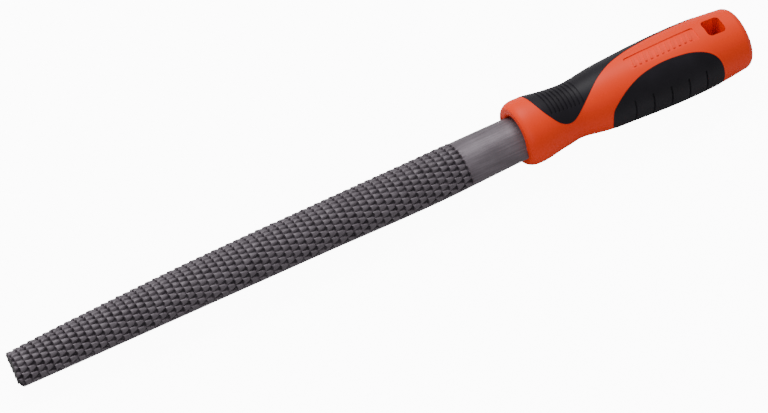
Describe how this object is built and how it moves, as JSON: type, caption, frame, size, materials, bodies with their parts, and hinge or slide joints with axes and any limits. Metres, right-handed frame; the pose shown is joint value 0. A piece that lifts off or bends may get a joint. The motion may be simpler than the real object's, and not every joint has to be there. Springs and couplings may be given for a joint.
{
  "type": "half-round wood rasp",
  "caption": "Half-round hand rasp: long steel blade with punched teeth, smooth heel and square-cut end, in a contoured hard-and-soft moulded handle with a hang hole.",
  "frame": {"origin": "under the middle of the tool's box, on the lowest line of the handle", "axes": "+X along the tool from the tip of the blade to the butt of the handle, +Z out of the crown of the half-round blade and through the hang hole, +Y towards the thumb side of the handle"},
  "size_m": [0.3588, 0.0328, 0.03],
  "materials": {
    "blade_steel": "dark satin, as hardened",
    "hard_plastic": "satin orange",
    "soft_grip": "fine matt black"
  },
  "bodies": {
    "root": {"rasp_blade": "blade_steel", "handle_core": "hard_plastic", "thumb_grip": "soft_grip", "palm_grip": "soft_grip"}
  },
  "joints": []
}
